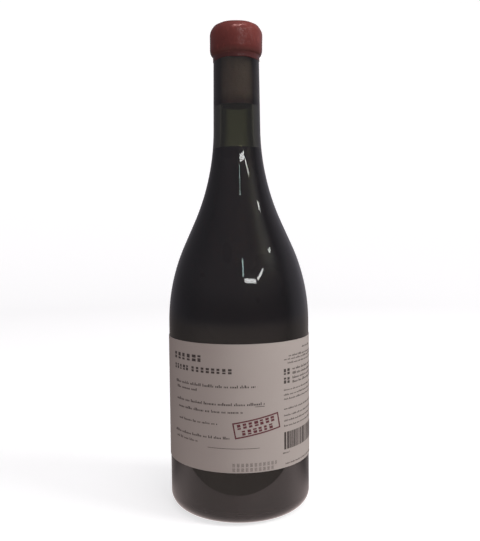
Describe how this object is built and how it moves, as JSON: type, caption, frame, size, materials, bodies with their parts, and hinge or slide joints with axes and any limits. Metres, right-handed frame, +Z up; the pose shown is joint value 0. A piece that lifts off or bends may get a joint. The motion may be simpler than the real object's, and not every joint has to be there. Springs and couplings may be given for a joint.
{
  "type": "wine bottle",
  "caption": "Sealed glass wine bottle with sloping shoulders, red wine, a cork under a dipped wax seal, and a wide wrap-around paper label.",
  "frame": {"origin": "centre of the circle that the foot stands on, at the level of the table", "axes": "+Z up along the bottle's axis, -Y towards the middle of the label's front, +X to the right of someone reading the label"},
  "size_m": [0.0864, 0.086, 0.2926],
  "materials": {
    "bottle_glass": "smooth dark green bottle glass, glossy",
    "wine": "dark red wine, near black through the glass",
    "cork": "natural cork, dry and fine-grained",
    "sealing_wax": "dull brick-red dipped wax, satin, slightly uneven",
    "label_paper": "uncoated warm grey-white paper with dark printing"
  },
  "bodies": {
    "root": {"glass_bottle": "bottle_glass", "red_wine": "wine", "cork_stopper": "cork", "wax_seal": "sealing_wax", "paper_label": "label_paper"}
  },
  "joints": []
}
